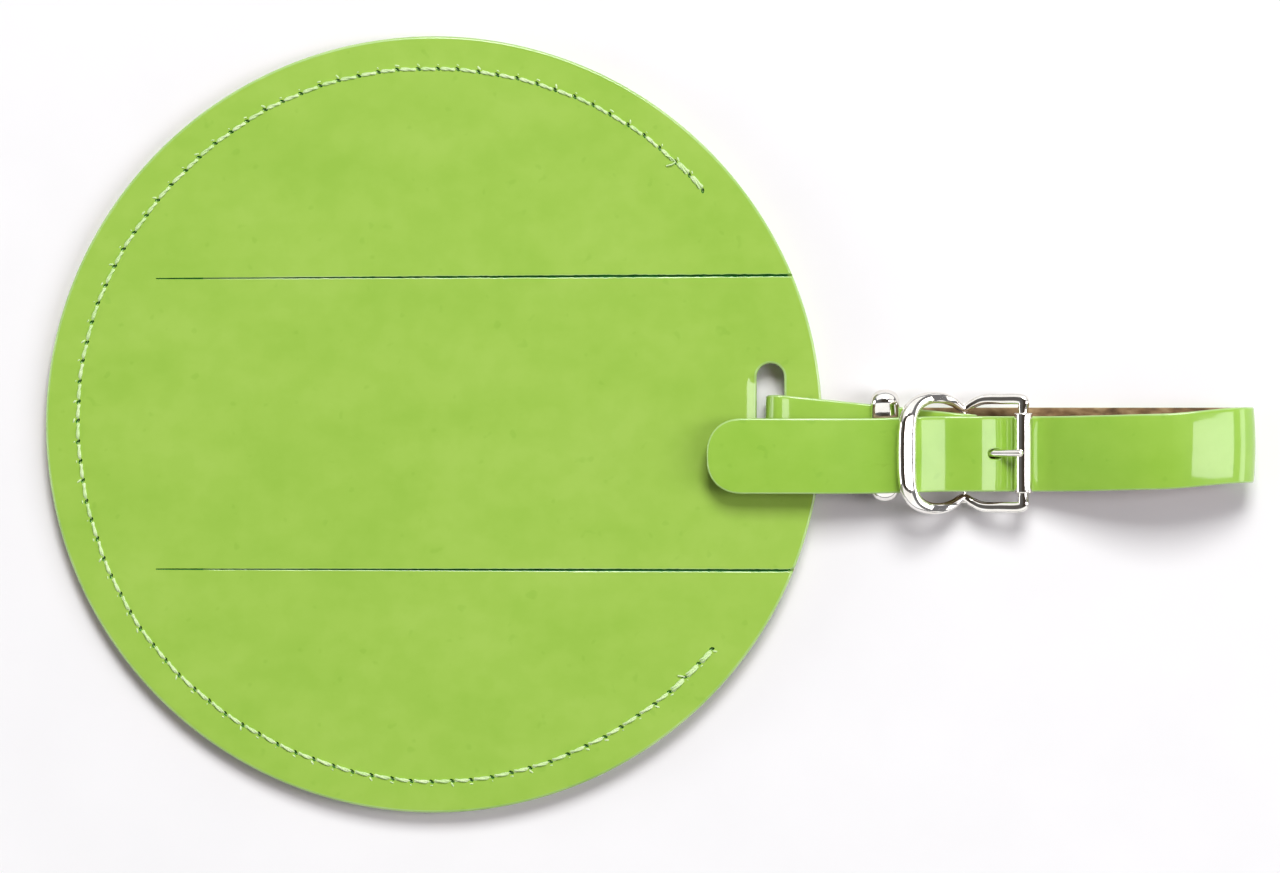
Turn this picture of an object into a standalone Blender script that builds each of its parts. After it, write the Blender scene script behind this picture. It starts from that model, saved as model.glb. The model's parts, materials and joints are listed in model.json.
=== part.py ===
"""A round leather luggage tag with a privacy flap, on a short strap closed by a roller buckle.

Sizes are in millimetres and become metres where an object is made. The tag's own parts are laid out flat,
with the back panel's underside at zero, and hang on the empty tag_frame, whose origin is the world's. The
tag leans a little, because its rim lies on the strap. The strap and its metal are laid out by their height
above the surface that everything lies on, and hang on the empty strap_frame.
"""

import math

import bmesh
import bpy
from mathutils import Vector

MM = 0.001

# the tag
TAG_RADIUS = 51.0
PANEL = 1.0
CARD_GAP = 0.4
CARD_THICK = 0.3
CARD_SIZE = (76.0, 48.0)
KERF = 0.3
SLIT_HIGH, SLIT_LOW = 19.4, -19.1
HINGE_X = -36.5
SLOT_X = (42.4, 46.0)
SLOT_Y = (-8.1, 8.0)
SEAM_RADIUS = 46.8
SEAM_ARC = (41.0, 321.0)
SEAM_THREAD = 0.2
FLAP_CORNER = 1.2

# the strap
STRAP = 1.1
HALF_WIDTH = 4.95
END_GAP = 0.15
SWING_X = 54.0
TAIL_X = 60.3
TIP_X = 35.9
TIP_LENGTH = 4.8
TIP_POWER = 2.3
LOOP_TOP, LOOP_END = 10.0, 107.15
LOOP_HIGH_X, LOOP_LOW_X, LOOP_MIDDLE_Z = 96.6, 100.8, 4.8
SLACK = 0.16

# the buckle, its pin, roller, prong and keeper
BUCKLE_Y = -3.75
BAR_X, BAR_Z, BAR_RADIUS = 69.6, 3.05, 0.7
BAR_HALF = 5.1
SPIGOT_RADIUS, SPIGOT_HALF = 0.28, 6.4
WRAP_GAP = 0.05
ROLLER_X, ROLLER_Z = 77.3, 5.25
ROLLER_RADIUS, ROLLER_BORE, ROLLER_HALF = 1.2, 0.75, 5.25
PRONG_RADIUS, PRONG_REACH, PRONG_SLOT = 0.42, 8.6, 1.5
HOLE_SIZE = (2.8, 1.4)
HOLE_X, HOLE_Z, HOLE_TILT = 73.2, 4.95, 34.0
KEEPER_X, KEEPER_HALF = 58.9, 1.75
KEEPER_Y, KEEPER_INNER = -2.74, 5.6
KEEPER_WALL, KEEPER_TOP, KEEPER_FLOOR = 1.65, 1.1, 0.75

# what follows from them
TAG_THICK = 2 * PANEL + CARD_GAP
LEAN = math.asin((STRAP + SLACK) / (TAG_RADIUS + SLOT_X[1]))
FLOOR = -TAG_RADIUS * math.sin(LEAN)
REAR_Z = STRAP / 2
RIM_TOP = 2 * TAG_RADIUS * math.sin(LEAN) + TAG_THICK
UPPER_Z = RIM_TOP + SLACK + STRAP / 2
FIXED_Z = UPPER_Z - 0.65
WRAP_RADIUS = BAR_RADIUS + WRAP_GAP + STRAP / 2
RETURN_Z = FIXED_Z - STRAP - 0.06

GREEN = (0.38, 0.63, 0.09)
CORE = (0.35, 0.24, 0.11)
NICKEL = (0.72, 0.70, 0.66)
THREAD = (0.62, 0.82, 0.34)
PAPER = (0.85, 0.84, 0.8)


def clear_scene():
    for obj in list(bpy.data.objects):
        bpy.data.objects.remove(obj)


def collection(name):
    made = bpy.data.collections.new(name)
    bpy.context.scene.collection.children.link(made)
    return made


def material(name, colour, roughness, metallic=0.0):
    made = bpy.data.materials.new(name)
    made.use_nodes = True
    shader = made.node_tree.nodes["Principled BSDF"]
    shader.inputs["Base Color"].default_value = (*colour, 1.0)
    shader.inputs["Roughness"].default_value = roughness
    shader.inputs["Metallic"].default_value = metallic
    return made


def frame_empty(name, height, lean):
    made = bpy.data.objects.new(name, None)
    made.location = (0, 0, height * MM)
    made.rotation_euler = (0, -lean, 0)
    PARTS.objects.link(made)
    return made


def add(name, data, colour, roughness, metallic=0.0, at=(0, 0, 0), turn=(0, 0, 0), parent=None):
    """A named object with a material of its own, its place in millimetres under its parent."""
    made = bpy.data.objects.new(name, data)
    data.materials.clear()
    data.materials.append(material(name, colour, roughness, metallic))
    made.location = Vector(at) * MM
    made.rotation_euler = turn
    made.parent = parent
    PARTS.objects.link(made)
    return made


def moved_origin(obj, at):
    """Puts an object's origin at a point of its parent's frame, leaving its shape where it is."""
    shift = Vector(at) * MM - obj.location
    for vertex in obj.data.vertices:
        vertex.co -= shift
    obj.location += shift


def as_mesh(obj):
    """The curve object again as a mesh object with its caps welded."""
    bpy.context.view_layer.update()
    graph = bpy.context.evaluated_depsgraph_get()
    data = bpy.data.meshes.new_from_object(obj.evaluated_get(graph))
    shape = bmesh.new()
    shape.from_mesh(data)
    bmesh.ops.remove_doubles(shape, verts=shape.verts, dist=1e-6)
    bmesh.ops.recalc_face_normals(shape, faces=shape.faces)
    shape.to_mesh(data)
    shape.free()
    name, curve = obj.name, obj.data
    made = bpy.data.objects.new(name + "_mesh", data)
    made.location, made.rotation_euler, made.parent = obj.location, obj.rotation_euler, obj.parent
    for home in obj.users_collection:
        home.objects.link(made)
    bpy.data.objects.remove(obj)
    bpy.data.curves.remove(curve)
    made.name = name
    return made


def boolean(obj, cutter, operation="DIFFERENCE"):
    """Cuts or joins a helper, which stays in the file as a hidden wire."""
    for home in list(cutter.users_collection):
        home.objects.unlink(cutter)
    CUTTERS.objects.link(cutter)
    cutter.hide_render = True
    cutter.display_type = "WIRE"
    step = obj.modifiers.new(cutter.name, "BOOLEAN")
    step.object = cutter
    step.operation = operation
    step.solver = "EXACT"


def smooth_shaded(obj):
    obj.data.shade_smooth()
    obj.data.set_sharp_from_angle(angle=math.radians(40))


def arc(centre, radius, start, end, steps):
    """Points round a centre, from one angle in degrees to another."""
    angles = [math.radians(start + (end - start) * i / steps) for i in range(steps + 1)]
    return [(centre[0] + radius * math.cos(a), centre[1] + radius * math.sin(a)) for a in angles]


def ease(value, start, end):
    """0 before start, 1 after end, and a smooth S between them."""
    share = min(max((value - start) / (end - start), 0.0), 1.0)
    return share * share * (3 - 2 * share)


def smooth(points, steps):
    """A Catmull-Rom curve through points of any number of coordinates, steps pieces to each span."""
    points = [Vector(p) for p in points]
    ends = [2 * points[0] - points[1], *points, 2 * points[-1] - points[-2]]
    made = []
    for before, a, b, after in zip(ends, ends[1:], ends[2:], ends[3:]):
        for i in range(steps):
            t = i / steps
            bend = (2 * before - 5 * a + 4 * b - after) * t * t
            twist = (3 * a - before - 3 * b + after) * t**3
            made.append((2 * a + (b - before) * t + bend + twist) / 2)
    return [tuple(p) for p in made + [points[-1]]]


def outline(name, loops, thickness):
    """A flat curve of closed loops, filled and extruded evenly about its own plane."""
    curve = bpy.data.curves.new(name, "CURVE")
    curve.dimensions = "2D"
    curve.fill_mode = "BOTH"
    curve.extrude = thickness / 2 * MM
    for loop in loops:
        spline = curve.splines.new("POLY")
        spline.points.add(len(loop) - 1)
        for point, (x, y) in zip(spline.points, loop):
            point.co = (x * MM, y * MM, 0, 1)
        spline.use_cyclic_u = True
    return curve


def tube(name, points, radius, closed=False, sides=2):
    """A round bar along points. A fourth number of a point is its radius, in place of the given one."""
    curve = bpy.data.curves.new(name, "CURVE")
    curve.dimensions = "3D"
    curve.bevel_depth = MM
    curve.bevel_resolution = sides
    curve.use_fill_caps = not closed
    spline = curve.splines.new("POLY")
    spline.points.add(len(points) - 1)
    for point, place in zip(spline.points, points):
        point.co = (*(Vector(place[:3]) * MM), 1)
        point.radius = place[3] if len(place) > 3 else radius
    spline.use_cyclic_u = closed
    return curve


def slot_loop():
    """The round-ended slot that the strap passes through."""
    radius = (SLOT_X[1] - SLOT_X[0]) / 2
    x = SLOT_X[0] + radius
    high = arc((x, SLOT_Y[1] - radius), radius, 0, 180, 8)
    low = arc((x, SLOT_Y[0] + radius), radius, 180, 360, 8)
    return high + low


def rim_angle(height):
    return math.degrees(math.asin(height / TAG_RADIUS))


def seam(name, height, radius):
    """The line of stitching round the pocket, as one thin tube."""
    points = [(x, y, height) for x, y in arc((0, 0), SEAM_RADIUS, *SEAM_ARC, 56)]
    return tube(name, points, radius, sides=1)


def seam_groove(name, height, radius, panel):
    cutter = bpy.data.objects.new(name, seam(name, height, radius))
    PARTS.objects.link(cutter)
    cutter = as_mesh(cutter)
    cutter.parent = panel.parent
    boolean(panel, cutter)


def back_panel():
    loops = [arc((0, 0), TAG_RADIUS, 0, 355, 71), slot_loop()]
    curve = outline("back_panel", loops, PANEL)
    panel = as_mesh(add("back_panel", curve, GREEN, 0.15, at=(0, 0, PANEL / 2), parent=TAG))
    moved_origin(panel, (0, 0, 0))
    seam_groove("back_groove", 0, 0.5, panel)
    add("back_seam_thread", seam("back_seam_thread", 0.24, SEAM_THREAD), THREAD, 0.6, parent=TAG)


def front_panel():
    """The pocket's front: the whole disc but for the band that the flap is cut from."""
    high, low = SLIT_HIGH + KERF / 2, SLIT_LOW - KERF / 2
    rim = arc((0, 0), TAG_RADIUS, rim_angle(high), 360 + rim_angle(low), 64)
    curve = outline("front_panel", [rim + [(HINGE_X, low), (HINGE_X, high)]], PANEL)
    height = TAG_THICK - PANEL / 2
    panel = as_mesh(add("front_panel", curve, GREEN, 0.15, at=(0, 0, height), parent=TAG))
    moved_origin(panel, (0, 0, 0))
    seam_groove("front_groove", TAG_THICK, 0.42, panel)
    curve = seam("front_seam_thread", TAG_THICK - 0.1, SEAM_THREAD)
    add("front_seam_thread", curve, THREAD, 0.6, parent=TAG)


def privacy_flap():
    """The band between the two slits. It folds at its left edge, which carries its origin."""
    high, low = SLIT_HIGH - KERF / 2, SLIT_LOW + KERF / 2
    turn = math.degrees(FLAP_CORNER / TAG_RADIUS)
    rim = arc((0, 0), TAG_RADIUS, rim_angle(low) + turn, rim_angle(high), 16)
    corner = (rim[0][0] - FLAP_CORNER, low)
    left = HINGE_X + KERF
    curve = outline("privacy_flap", [[(left, low), corner, *rim, (left, high)], slot_loop()], PANEL)
    height = TAG_THICK - PANEL / 2
    flap = as_mesh(add("privacy_flap", curve, GREEN, 0.15, at=(0, 0, height), parent=TAG))
    moved_origin(flap, (HINGE_X, 0, TAG_THICK))


def address_card():
    width, height = CARD_SIZE[0] / 2, CARD_SIZE[1] / 2
    loop = [(width, height), (-width, height), (-width, -height), (width, -height)]
    curve = outline("address_card", [loop], CARD_THICK)
    middle = PANEL + 0.05 + CARD_THICK / 2
    as_mesh(add("address_card", curve, PAPER, 0.7, at=(0, 0, middle), parent=TAG))


def strap_part(name, path, half_width=lambda x: HALF_WIDTH):
    """A stretch of strap: a ribbon along a path of (x, y, z) centres, given the strap's thickness."""
    data = bpy.data.meshes.new(name)
    shape = bmesh.new()
    rows = []
    for x, y, z in path:
        sides = [(x, y + half_width(x), z), (x, y - half_width(x), z)]
        rows.append([shape.verts.new(Vector(side) * MM) for side in sides])
    for (a, b), (c, d) in zip(rows, rows[1:]):
        shape.faces.new((a, b, d, c))
    shape.to_mesh(data)
    shape.free()
    made = add(name, data, GREEN, 0.15, parent=STRAP_FRAME)
    shell = made.modifiers.new("thickness", "SOLIDIFY")
    shell.thickness = STRAP * MM
    shell.offset = 0
    shell.use_even_offset = True
    return made


def rear_y(x):
    return -1.45 - 1.28 * ease(x, 46.5, 60.0)


def front_y(x):
    return -4.02 + 0.5 * ease(x, 80.0, 100.0) + 0.85 * ease(x, 95.0, LOOP_END)


def fixed_y(x):
    return -1.15 - 2.4 * (x - SLOT_X[1]) / (BAR_X - SLOT_X[1])


def fixed_z(x):
    """Height of the fixed end's top layer: over the rim, down into the keeper and up over the bar."""
    drop = (UPPER_Z - FIXED_Z) * ease(x, 51.5, 57.3)
    rise = (BAR_Z + WRAP_RADIUS - FIXED_Z) * ease(x, 64.5, 69.0)
    return UPPER_Z - drop + rise


def spaced(start, end, steps):
    return [start + (end - start) * i / steps for i in range(steps + 1)]


def strap_slot_fold():
    """Over the rim of the tag, down through the slot and back under the rim."""
    radius = (UPPER_Z - REAR_Z) / 2
    centre = (SLOT_X[1] + SLACK, REAR_Z + radius)
    upper = [(x, fixed_z(x)) for x in spaced(SWING_X - END_GAP, SLOT_X[1] + 0.6, 8)]
    lower = [(SLOT_X[1] + 0.6, REAR_Z), (SWING_X - END_GAP, REAR_Z)]
    path = upper + arc(centre, radius, 90, 270, 12) + lower
    strap_part("strap_slot_fold", [(x, fixed_y(x) if z > 1 else rear_y(x), z) for x, z in path])


def strap_rear_leg():
    path = [(x, rear_y(x), REAR_Z) for x in spaced(SWING_X + END_GAP, LOOP_LOW_X - END_GAP, 8)]
    strap_part("strap_rear_leg", path)


def quarter(centre, across, up, start):
    """A quarter of an ellipse in X and height, from a start angle in degrees."""
    return [(centre[0] + across * math.cos(math.radians(a)), centre[1] + up * math.sin(math.radians(a)))
            for a in spaced(start, start + 90, 10)]


def strap_end_fold():
    """The end of the loop: it turns up sharply from the rear leg and leans back to the crest."""
    lower = quarter((LOOP_LOW_X, LOOP_MIDDLE_Z), LOOP_END - LOOP_LOW_X, LOOP_MIDDLE_Z - REAR_Z, -90)
    upper = quarter((LOOP_HIGH_X, LOOP_MIDDLE_Z), LOOP_END - LOOP_HIGH_X, LOOP_TOP - LOOP_MIDDLE_Z, 0)
    path = []
    for x, z in lower + upper[1:]:
        share = (z - REAR_Z) / (LOOP_TOP - REAR_Z)
        path.append((x, rear_y(x) * (1 - share) + front_y(x) * share, z))
    strap_part("strap_end_fold", path)


def strap_front_leg():
    """From the crest down to the buckle's roller."""
    points = [(LOOP_HIGH_X - END_GAP, LOOP_TOP), (93.4, 9.62), (90.0, 8.55), (86.5, 6.95), (83.5, 5.45),
              (80.3, 3.97)]
    path = [(x, front_y(x), z) for x, z in smooth(points, 3)]
    strap_part("strap_front_leg", path)


def strap_buckle_run():
    """Under the roller, over the bar and the wrapped end, and under the keeper loop of the frame."""
    points = [(80.0, 3.85), (79.1, 3.55), (77.4, 3.33), (76.1, 3.46), (75.1, 3.7), (74.4, 4.1), (73.8, 4.6),
              (73.0, 5.05), (72.1, 5.36), (71.0, 5.5), (67.9, 5.52), (65.4, 5.88), (62.8, 6.15),
              (TAIL_X + 0.2, 6.25)]
    run = strap_part("strap_buckle_run", [(x, front_y(x), z) for x, z in smooth(points, 3)])
    long, wide = HOLE_SIZE
    ends = [arc((side * (long - wide) / 2, 0), wide / 2, 90 - 90 * side - 90, 90 - 90 * side + 90, 6)
            for side in (1, -1)]
    cutter = add("strap_hole", outline("strap_hole", [ends[0] + ends[1]], 3.0), CORE, 0.8,
                 at=(HOLE_X, BUCKLE_Y, HOLE_Z), turn=(0, math.radians(HOLE_TILT), 0), parent=STRAP_FRAME)
    boolean(run, as_mesh(cutter))


def tip_width(x):
    """Half the tail's width, which closes in a blunt round tip."""
    share = min((x - TIP_X + 0.05) / TIP_LENGTH, 1.0)
    return HALF_WIDTH * (1 - (1 - share) ** TIP_POWER) ** (1 / TIP_POWER)


def tail_z(x):
    return 6.25 + 0.8 * ease(TAIL_X - x, 0.0, 12.0) - 0.45 * ease(TAIL_X - x, 12.0, 26.0)


def strap_tail():
    """The free end, over the keeper and the tag. Its origin is on the line that it bends up about."""
    along = spaced(TAIL_X, TIP_X + TIP_LENGTH, 8)
    along += [TIP_X + TIP_LENGTH * (1 - i / 9) ** 2 for i in range(1, 10)]
    path = [(x, front_y(x), tail_z(x)) for x in along]
    tail = strap_part("strap_tail", path, tip_width)
    moved_origin(tail, (TAIL_X, front_y(TAIL_X), tail_z(TAIL_X) + STRAP / 2))


def strap_fixed_end():
    """From the tag, through the keeper, round the buckle's bar and back into the keeper."""
    top = [(x, fixed_z(x)) for x in spaced(SWING_X + END_GAP, BAR_X - 0.6, 12)]
    wrap = arc((BAR_X, BAR_Z), WRAP_RADIUS, 90, -90, 12)
    low = BAR_Z - WRAP_RADIUS
    back = [(x, low + (RETURN_Z - low) * ease(BAR_X - x, 1.5, 8.0)) for x in spaced(68.8, 57.4, 10)]
    path = [(x, fixed_y(x), z) for x, z in top + wrap + back]
    end = strap_part("strap_fixed_end", path)
    bpy.ops.mesh.primitive_cube_add(size=1)
    cutter = bpy.context.object
    cutter.name = "prong_slot"
    cutter.scale = (5.0 * MM, PRONG_SLOT * MM, 6.0 * MM)
    cutter.location = (70.1 * MM, BUCKLE_Y * MM, BAR_Z * MM)
    cutter.parent = STRAP_FRAME
    boolean(end, cutter)


def rounded_box_loop(low, high, radius):
    """A rectangle with round corners, from its lowest and highest corners."""
    made = []
    for start, x, y in ((0, high[0], high[1]), (90, low[0], high[1]),
                        (180, low[0], low[1]), (270, high[0], low[1])):
        inward_x = -radius if x == high[0] else radius
        inward_y = -radius if y == high[1] else radius
        made += arc((x + inward_x, y + inward_y), radius, start, start + 90, 4)
    return made


def keeper_band():
    """A half-round metal band closed round both layers of the fixed end."""
    low = RETURN_Z - STRAP / 2 - 0.08
    high = FIXED_Z + STRAP / 2 + 0.08
    inner = rounded_box_loop((-KEEPER_INNER, low), (KEEPER_INNER, high), 0.5)
    wide = KEEPER_INNER + KEEPER_WALL
    outer = rounded_box_loop((-wide, low - KEEPER_FLOOR), (wide, high + KEEPER_TOP), 1.3)
    curve = outline("keeper_band", [outer, inner], 2 * KEEPER_HALF)
    band = add("keeper_band", curve, NICKEL, 0.12, 1.0, at=(KEEPER_X, KEEPER_Y, 0),
               turn=(math.pi / 2, 0, math.pi / 2), parent=STRAP_FRAME)
    band = as_mesh(band)
    edge = band.modifiers.new("round_edges", "BEVEL")
    edge.width = 0.45 * MM
    edge.segments = 2
    edge.limit_method = "ANGLE"
    edge.angle_limit = math.radians(60)
    smooth_shaded(band)


def buckle_frame():
    """The figure-of-eight frame: a high round loop on the left, a waist at the pin and a square end."""
    top = [
        (61.95, 3.0, 7.95, 1.15), (62.15, 5.1, 7.8, 1.05), (63.2, 6.5, 7.0, 0.9), (64.9, 7.2, 5.9, 0.8),
        (66.6, 7.2, 4.8, 0.72), (68.2, 6.65, 3.7, 0.66), (69.6, 5.8, 3.05, 0.6),
        (70.9, 6.6, 3.2, 0.64), (72.6, 7.1, 3.7, 0.66), (75.9, 7.15, 4.85, 0.68), (77.0, 6.9, 5.2, 0.68),
        (ROLLER_X, 6.0, ROLLER_Z, 0.66), (ROLLER_X, 5.3, ROLLER_Z, 0.62), (ROLLER_X, 4.0, ROLLER_Z, 0.62),
    ]
    bottom = [(x, -y, z, r) for x, y, z, r in reversed(top)]
    around = smooth([(61.9, 0, 7.95, 1.2), *top, *bottom, (61.9, 0, 7.95, 1.2)], 3)[:-1]
    frame = add("buckle_frame", tube("buckle_frame", around, 1.0, closed=True), NICKEL, 0.1, 1.0,
                at=(0, BUCKLE_Y, 0), parent=STRAP_FRAME)
    frame = as_mesh(frame)
    moved_origin(frame, (BAR_X, BUCKLE_Y, BAR_Z))
    bpy.ops.mesh.primitive_cylinder_add(vertices=12, radius=0.33 * MM, depth=16 * MM)
    bore = bpy.context.object
    bore.name = "pin_bore"
    bore.location = Vector((BAR_X, BUCKLE_Y, BAR_Z)) * MM
    bore.rotation_euler = (math.pi / 2, 0, 0)
    bore.parent = STRAP_FRAME
    boolean(frame, bore)
    smooth_shaded(frame)


def turned(name, profile, at):
    """A shape turned about Y: its profile is (distance from the axis, place along it), top to bottom."""
    data = bpy.data.meshes.new(name)
    shape = bmesh.new()
    made = [shape.verts.new((r * MM, 0, y * MM)) for r, y in profile]
    for a, b in zip(made, made[1:]):
        shape.edges.new((a, b))
    shape.to_mesh(data)
    shape.free()
    obj = add(name, data, NICKEL, 0.12, 1.0, at=at, turn=(math.pi / 2, 0, 0), parent=STRAP_FRAME)
    turn = obj.modifiers.new("turn", "SCREW")
    turn.axis = "Z"
    turn.steps = turn.render_steps = 16
    turn.use_merge_vertices = True
    turn.merge_threshold = 1e-6
    turn.use_smooth_shade = False
    return obj


def centre_bar():
    """A pin with a thin spigot at each end, closed in the frame's waist."""
    thick, thin = BAR_RADIUS, SPIGOT_RADIUS
    profile = [(0, SPIGOT_HALF), (thin, SPIGOT_HALF), (thin, BAR_HALF), (thick, BAR_HALF)]
    profile += [(r, -y) for r, y in reversed(profile)]
    turned("centre_bar", profile, (BAR_X, BUCKLE_Y, BAR_Z))


def roller():
    profile = [(ROLLER_BORE, ROLLER_HALF), (ROLLER_RADIUS, ROLLER_HALF),
               (ROLLER_RADIUS, -ROLLER_HALF), (ROLLER_BORE, -ROLLER_HALF), (ROLLER_BORE, ROLLER_HALF)]
    turned("roller", profile, (ROLLER_X, BUCKLE_Y, ROLLER_Z))


def prong():
    """An eye round the centre bar and a straight shank that rests on the roller."""
    reach_x, reach_z = ROLLER_X - BAR_X, ROLLER_Z - BAR_Z
    rest = ROLLER_RADIUS + 0.05 + PRONG_RADIUS
    slope = math.atan2(reach_z, reach_x) + math.asin(rest / math.hypot(reach_x, reach_z))
    along = Vector((math.cos(slope), 0, math.sin(slope)))
    lengths = [(1.0, 1.0), (PRONG_REACH - 0.45, 1.0), (PRONG_REACH - 0.15, 0.8), (PRONG_REACH, 0.45)]
    points = [(*(along * length), PRONG_RADIUS * share) for length, share in lengths]
    at = (BAR_X, BUCKLE_Y, BAR_Z)
    shank = add("prong", tube("prong", points, 1.0), NICKEL, 0.12, 1.0, at=at, parent=STRAP_FRAME)
    shank = as_mesh(shank)
    bpy.ops.mesh.primitive_torus_add(major_radius=(BAR_RADIUS + 0.08 + 0.4) * MM, minor_radius=0.4 * MM,
                                     major_segments=20, minor_segments=8)
    eye = bpy.context.object
    eye.name = "prong_eye"
    eye.location = Vector(at) * MM
    eye.rotation_euler = (math.pi / 2, 0, 0)
    eye.parent = STRAP_FRAME
    boolean(shank, eye, "UNION")
    smooth_shaded(shank)


clear_scene()
PARTS = collection("round_luggage_tag")
CUTTERS = collection("cutters")
TAG = frame_empty("tag_frame", 0, LEAN)
STRAP_FRAME = frame_empty("strap_frame", FLOOR, 0)

back_panel()
front_panel()
privacy_flap()
address_card()
strap_slot_fold()
strap_rear_leg()
strap_end_fold()
strap_front_leg()
strap_buckle_run()
strap_tail()
strap_fixed_end()
keeper_band()
buckle_frame()
centre_bar()
roller()
prong()
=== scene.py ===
"""Looks of the round luggage tag: patent leather, stitching, strap and nickel hardware round the CAD frame.

Shapes are laid out in millimetres. The tag's leather is laid out flat, with the back panel's underside at
zero, and leans as the CAD tag does. The strap and its metal are laid out by height above the floor.
"""

import math

import bmesh
import bpy
import numpy as np
from mathutils import Matrix, Vector, noise
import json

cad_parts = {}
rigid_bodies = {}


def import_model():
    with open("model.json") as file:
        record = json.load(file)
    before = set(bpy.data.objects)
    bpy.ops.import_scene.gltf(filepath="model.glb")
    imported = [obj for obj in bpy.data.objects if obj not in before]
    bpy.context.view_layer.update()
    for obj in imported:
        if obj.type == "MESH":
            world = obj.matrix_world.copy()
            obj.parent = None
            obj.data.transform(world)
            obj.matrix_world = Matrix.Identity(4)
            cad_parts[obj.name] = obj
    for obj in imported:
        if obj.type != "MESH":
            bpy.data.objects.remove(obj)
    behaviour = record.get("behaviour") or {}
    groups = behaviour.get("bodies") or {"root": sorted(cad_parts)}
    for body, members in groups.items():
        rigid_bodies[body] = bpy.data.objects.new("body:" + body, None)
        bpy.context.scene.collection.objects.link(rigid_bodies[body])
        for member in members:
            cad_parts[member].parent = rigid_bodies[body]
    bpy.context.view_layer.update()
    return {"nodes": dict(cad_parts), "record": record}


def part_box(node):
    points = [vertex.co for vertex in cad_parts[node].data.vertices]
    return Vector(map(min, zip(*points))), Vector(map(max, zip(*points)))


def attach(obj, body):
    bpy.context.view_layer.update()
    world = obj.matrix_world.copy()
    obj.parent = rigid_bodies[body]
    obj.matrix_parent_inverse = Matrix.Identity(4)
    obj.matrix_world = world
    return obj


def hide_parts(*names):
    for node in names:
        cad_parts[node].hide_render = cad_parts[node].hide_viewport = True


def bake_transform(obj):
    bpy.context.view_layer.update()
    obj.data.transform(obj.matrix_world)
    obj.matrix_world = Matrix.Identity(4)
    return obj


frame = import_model()

MM = 0.001


def in_mm(node):
    """A CAD node's lowest and highest corners, in millimetres."""
    low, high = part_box(node)
    return Vector(low) / MM, Vector(high) / MM


# the tag, in its own flat layout
TAG_RADIUS = (in_mm("back_panel")[1].y - in_mm("back_panel")[0].y) / 2
AXIS = next(m for m in frame["record"]["mounts"] if m["name"] == "back_face")["axis"]
LEAN = math.asin(AXIS[0])
FLOOR = in_mm("strap_rear_leg")[0].z
PANEL = 1.0
TAG_THICK = 2.4
BACK_TOP = 1.3
SLOT_X, SLOT_Y = (42.4, 46.0), (-8.1, 8.0)
SLIT_LEFT = -36.5
SLIT_HIGH, SLIT_LOW = (19.16, 19.62), (-19.0, -19.18)
EDGE = 0.32
SEAM_RADIUS = 46.8
SEAM_START, SEAM_END = 41.0, 321.2
STITCH = 2.62
THREAD = 0.185
HINGE_BEND = 7.0

# the strap
STRAP = 1.1
HALF_WIDTH = 4.95
CROWN = 0.24
REAR_Z = STRAP / 2
SLACK = 0.16
LOOP_TOP, LOOP_END = 10.0, 107.15
LOOP_HIGH_X, LOOP_LOW_X, LOOP_MIDDLE_Z = 96.6, 100.8, 4.8
TAIL_X, TIP_X = 60.3, 35.75
BUCKLE_Y = -3.75
BAR_X, BAR_Z, BAR_RADIUS = 69.6, 3.05, 0.7
WRAP_RADIUS = BAR_RADIUS + 0.05 + STRAP / 2
ROLLER_X, ROLLER_Z, ROLLER_RADIUS = 77.3, 5.25, 1.2
RIM_TOP = 2 * TAG_RADIUS * math.sin(LEAN) + TAG_THICK
UPPER_Z = RIM_TOP + SLACK + STRAP / 2
FIXED_Z = UPPER_Z - 0.65
RETURN_Z = FIXED_Z - STRAP - 0.06
FOLD_X, FOLD_REACH, FOLD_HUMP = 45.25, 1.2, 0.28
KEEPER_X, KEEPER_Y = 59.2, -2.74
HOLE_X = 73.35

TAG_PLACE = Matrix.Rotation(-LEAN, 4, "Y") @ Matrix.Scale(MM, 4)
STRAP_PLACE = Matrix.Translation((0, 0, FLOOR * MM)) @ Matrix.Scale(MM, 4)

# the leather pieces' material slots: film, a paler film painted as the rims' highlight, raw core, and a dark
# green painted as the shade inside cut walls
FILM, PAINTED_RIM_HIGHLIGHT, RAW_CORE, SLIT_SHADE = range(4)

# the strap's legs, in the order of its route
FIXED_LEG, REAR_LEG, FRONT_LEG = range(3)

# the picture: its middle and width on the floor, and the camera's distance
VIEW_MIDDLE = (27.05, -1.58)
VIEW_WIDTH = 168.4
VIEW_DISTANCE = 1.3


# ---------------------------------------------------------------- materials

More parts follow.
